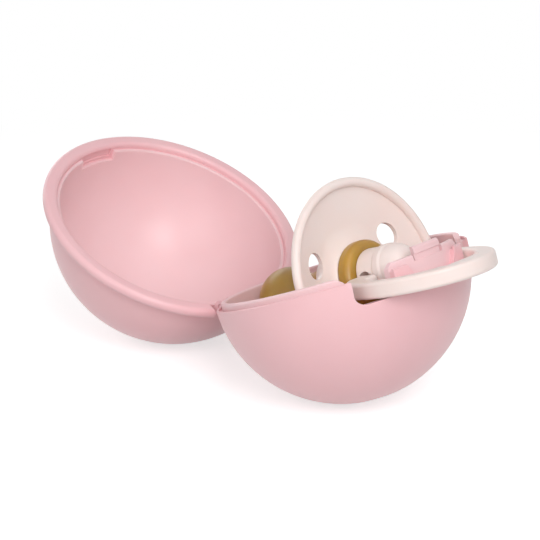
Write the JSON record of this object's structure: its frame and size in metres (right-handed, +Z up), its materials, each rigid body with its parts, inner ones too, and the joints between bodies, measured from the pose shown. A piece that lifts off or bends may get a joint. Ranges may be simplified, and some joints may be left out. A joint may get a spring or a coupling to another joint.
{
  "type": "pacifier sterilizer case",
  "caption": "Open ball-shaped pacifier case of two hinged pink shells, with a round-shield rubber-nipple pacifier lying in the base and its ring hung out through the rim.",
  "frame": {"origin": "centre of the bounding box's bottom face, on the surface that both domes stand on", "axes": "+X from the lid towards the latch and the ring, +Y along the hinge, +Z up"},
  "size_m": [0.1218, 0.0626, 0.0506],
  "materials": {
    "shell_pink": "satin",
    "pacifier_blush": "satin",
    "natural_rubber": "satin"
  },
  "bodies": {
    "base": {"base_shell": "shell_pink", "hinge_pin": "shell_pink", "pacifier_shield": "pacifier_blush", "pacifier_nipple": "natural_rubber", "pacifier_knob": "pacifier_blush"},
    "lid": {"lid_shell": "shell_pink"},
    "ring": {"pacifier_ring": "pacifier_blush"}
  },
  "joints": [
    {"name": "lid_hinge", "type": "hinge", "parent": "base", "child": "lid", "pos_m": [-0.00573, 0, 0.01719], "axis": [0, 1, 0], "range_deg": [0, 131.4]},
    {"name": "ring_swing", "type": "hinge", "parent": "base", "child": "ring", "pos_m": [0.03288, 0, 0.03135], "axis": [0, -1, 0], "range_deg": [0, 5]}
  ]
}
